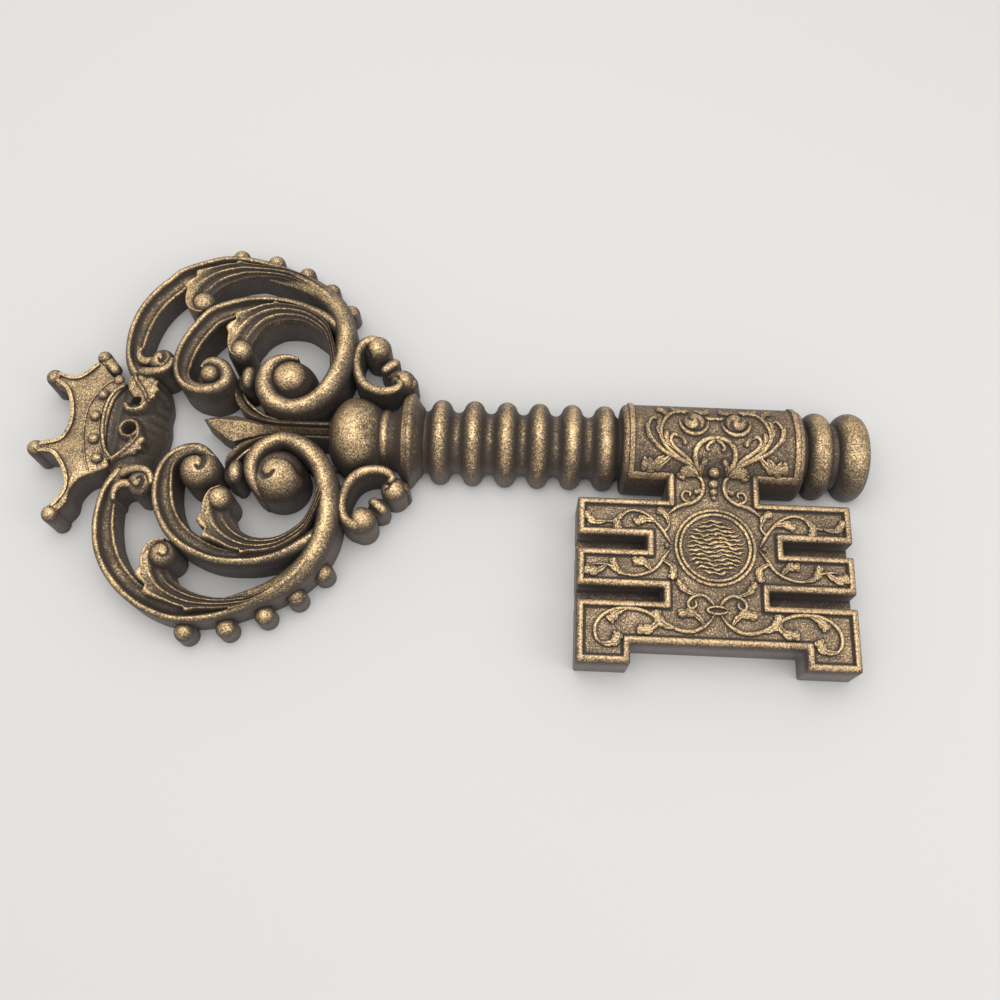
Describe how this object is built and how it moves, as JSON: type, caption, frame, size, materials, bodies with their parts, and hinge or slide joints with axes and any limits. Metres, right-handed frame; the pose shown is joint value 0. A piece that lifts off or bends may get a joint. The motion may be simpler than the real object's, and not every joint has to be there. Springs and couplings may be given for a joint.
{
  "type": "decorative wall key",
  "caption": "Flat-backed ornamental wall key with a crowned scrollwork bow, a ringed shank and a slotted bit with relief vines, in antique bronze.",
  "frame": {"origin": "middle of the key's box, on the flat back", "axes": "+X along the shank from the crown to the plain end, +Y across it away from the bit, +Z out of the front"},
  "size_m": [0.4074, 0.2164, 0.0312],
  "materials": {
    "bronze": "moulded resin painted antique bronze: gold-bronze rubbed over dark umber",
    "steel": "plain zinc-plated steel"
  },
  "bodies": {
    "root": {"bow_knob": "bronze", "neck_collar": "bronze", "ringed_shank": "bronze", "barrel": "bronze", "end_ring": "bronze", "end_cap": "bronze", "shank_dowels": "steel", "bit_plate": "bronze", "bit_dowels": "steel", "medallion_ring": "bronze", "medallion_disc": "bronze", "barrel_cabochons": "bronze", "barrel_scrollwork": "bronze", "neck_scrollwork": "bronze", "neck_beads": "bronze", "arm_scrollwork": "bronze", "foot_scrollwork": "bronze", "outer_scroll_upper": "bronze", "outer_scroll_lower": "bronze", "inner_scroll_upper": "bronze", "inner_scroll_lower": "bronze", "large_boss_upper": "bronze", "large_boss_lower": "bronze", "small_boss_upper": "bronze", "small_boss_lower": "bronze", "outer_leaf_upper": "bronze", "outer_leaf_lower": "bronze", "inner_leaf_upper": "bronze", "inner_leaf_lower": "bronze", "link_bead_upper": "bronze", "link_bead_lower": "bronze", "rim_beads_upper": "bronze", "rim_beads_lower": "bronze", "end_curl_upper": "bronze", "end_curl_lower": "bronze", "ear_scroll_upper": "bronze", "ear_scroll_lower": "bronze", "ear_baluster_upper": "bronze", "ear_baluster_lower": "bronze", "bow_dowels": "steel", "fleur_de_lis": "bronze", "crown_bracket": "bronze", "crown_plate": "bronze", "crown_band_beads": "bronze", "crown_posts": "bronze", "crown_dowels": "steel", "hanger_plates": "steel", "hanger_screws": "steel"}
  },
  "joints": []
}
